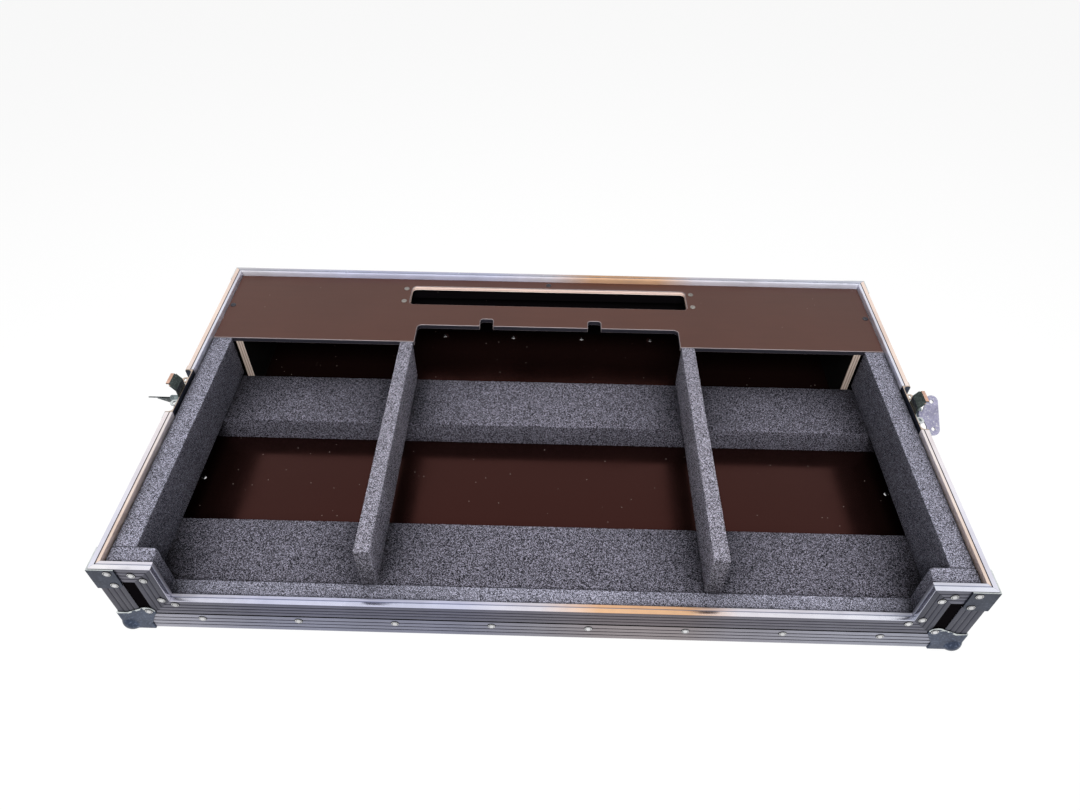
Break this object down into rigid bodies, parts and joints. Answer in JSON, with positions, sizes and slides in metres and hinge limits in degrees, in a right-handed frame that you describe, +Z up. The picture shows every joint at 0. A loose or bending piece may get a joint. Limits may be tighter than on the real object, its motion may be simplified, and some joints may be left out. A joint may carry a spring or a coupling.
{
  "type": "open flight case base tray",
  "caption": "Open base tray of a flight case for media players and a mixer, with foam-lined bays, a cable deck, ball corners and butterfly latches.",
  "frame": {"origin": "on the surface that the case rests on, under the middle of its bounding box", "axes": "+X is the case's right seen from its low front, +Y runs from the low front to the rear deck, +Z is up"},
  "size_m": [0.9244, 0.499, 0.1342],
  "materials": {
    "phenolic_ply": "film-faced plywood, dark brown, satin",
    "bare_ply": "bare plywood",
    "lining_foam": "closed-cell foam, dark grey with a fine light speckle",
    "divider_foam": "firm foam board, dark grey with a fine light speckle",
    "aluminium_edge": "ribbed, bright mill finish with light handling marks",
    "zinc_steel": "blue-grey zinc plate, worn bright at the edges",
    "latch_steel": "zinc plate, satin",
    "rivet_steel": "bright domed heads"
  },
  "bodies": {
    "case": {"floor_panel": "phenolic_ply", "front_panel": "phenolic_ply", "rear_panel": "phenolic_ply", "left_panel": "phenolic_ply", "right_panel": "phenolic_ply", "rear_rim": "aluminium_edge", "left_front_rim": "aluminium_edge", "left_rear_rim": "aluminium_edge", "right_front_rim": "aluminium_edge", "right_rear_rim": "aluminium_edge", "left_post_rim": "aluminium_edge", "right_post_rim": "aluminium_edge", "left_step_trim": "aluminium_edge", "right_step_trim": "aluminium_edge", "front_low_rim": "aluminium_edge", "front_bottom_angle": "aluminium_edge", "rear_bottom_angle": "aluminium_edge", "left_bottom_angle": "aluminium_edge", "right_bottom_angle": "aluminium_edge", "front_left_corner_angle": "aluminium_edge", "front_right_corner_angle": "aluminium_edge", "rear_left_corner_angle": "aluminium_edge", "rear_right_corner_angle": "aluminium_edge", "front_left_ball_corner": "zinc_steel", "front_right_ball_corner": "zinc_steel", "rear_left_ball_corner": "zinc_steel", "rear_right_ball_corner": "zinc_steel", "front_left_brace": "zinc_steel", "front_right_brace": "zinc_steel", "rear_left_brace": "zinc_steel", "rear_right_brace": "zinc_steel", "edge_rivets": "rivet_steel", "corner_rivets": "rivet_steel", "latch_rivets": "rivet_steel", "rear_deck": "phenolic_ply", "left_deck_support": "bare_ply", "right_deck_support": "bare_ply", "left_deck_batten": "bare_ply", "right_deck_batten": "bare_ply", "rear_deck_batten": "phenolic_ply", "deck_screws": "rivet_steel", "left_side_foam": "lining_foam", "right_side_foam": "lining_foam", "front_foam": "lining_foam", "front_floor_block": "lining_foam", "rear_floor_block": "lining_foam", "left_divider": "divider_foam", "right_divider": "divider_foam", "left_latch_dish": "zinc_steel", "left_latch_bracket": "zinc_steel", "right_latch_dish": "zinc_steel", "right_latch_bracket": "zinc_steel"},
    "left_hook": {"left_latch_hook": "zinc_steel"},
    "left_spindle": {"left_latch_spindle": "latch_steel", "left_latch_pin": "latch_steel"},
    "left_wing": {"left_latch_wing": "latch_steel"},
    "right_hook": {"right_latch_hook": "zinc_steel"},
    "right_spindle": {"right_latch_spindle": "latch_steel", "right_latch_pin": "latch_steel"},
    "right_wing": {"right_latch_wing": "latch_steel"}
  },
  "joints": [
    {"name": "left_latch_turn", "type": "hinge", "parent": "case", "child": "left_spindle", "pos_m": [-0.435, 0, 0.1022], "axis": [-1, 0, 0], "range_deg": [-226, 0]},
    {"name": "left_wing_fold", "type": "hinge", "parent": "left_spindle", "child": "left_wing", "pos_m": [-0.4392, 0, 0.1022], "axis": [0, -0.6947, 0.7193], "range_deg": [-88, 0]},
    {"name": "left_hook_lift", "type": "slide", "parent": "case", "child": "left_hook", "axis": [0, 0, 1], "range_m": [-0.00901, 0.00001]},
    {"name": "right_latch_turn", "type": "hinge", "parent": "case", "child": "right_spindle", "pos_m": [0.435, 0, 0.1022], "axis": [1, 0, 0], "range_deg": [-214, 12]},
    {"name": "right_wing_fold", "type": "hinge", "parent": "right_spindle", "child": "right_wing", "pos_m": [0.4392, 0, 0.1022], "axis": [0, 0.829, 0.5592], "range_deg": [-88, 0]},
    {"name": "right_hook_lift", "type": "slide", "parent": "case", "child": "right_hook", "axis": [0, 0, 1], "range_m": [-0.00853, 0.00049]}
  ],
  "couplings": [
    {"joint": "left_hook_lift", "follows": "left_latch_turn", "m_per_rad": 0.0022817},
    {"joint": "right_hook_lift", "follows": "right_latch_turn", "m_per_rad": 0.0022817}
  ]
}
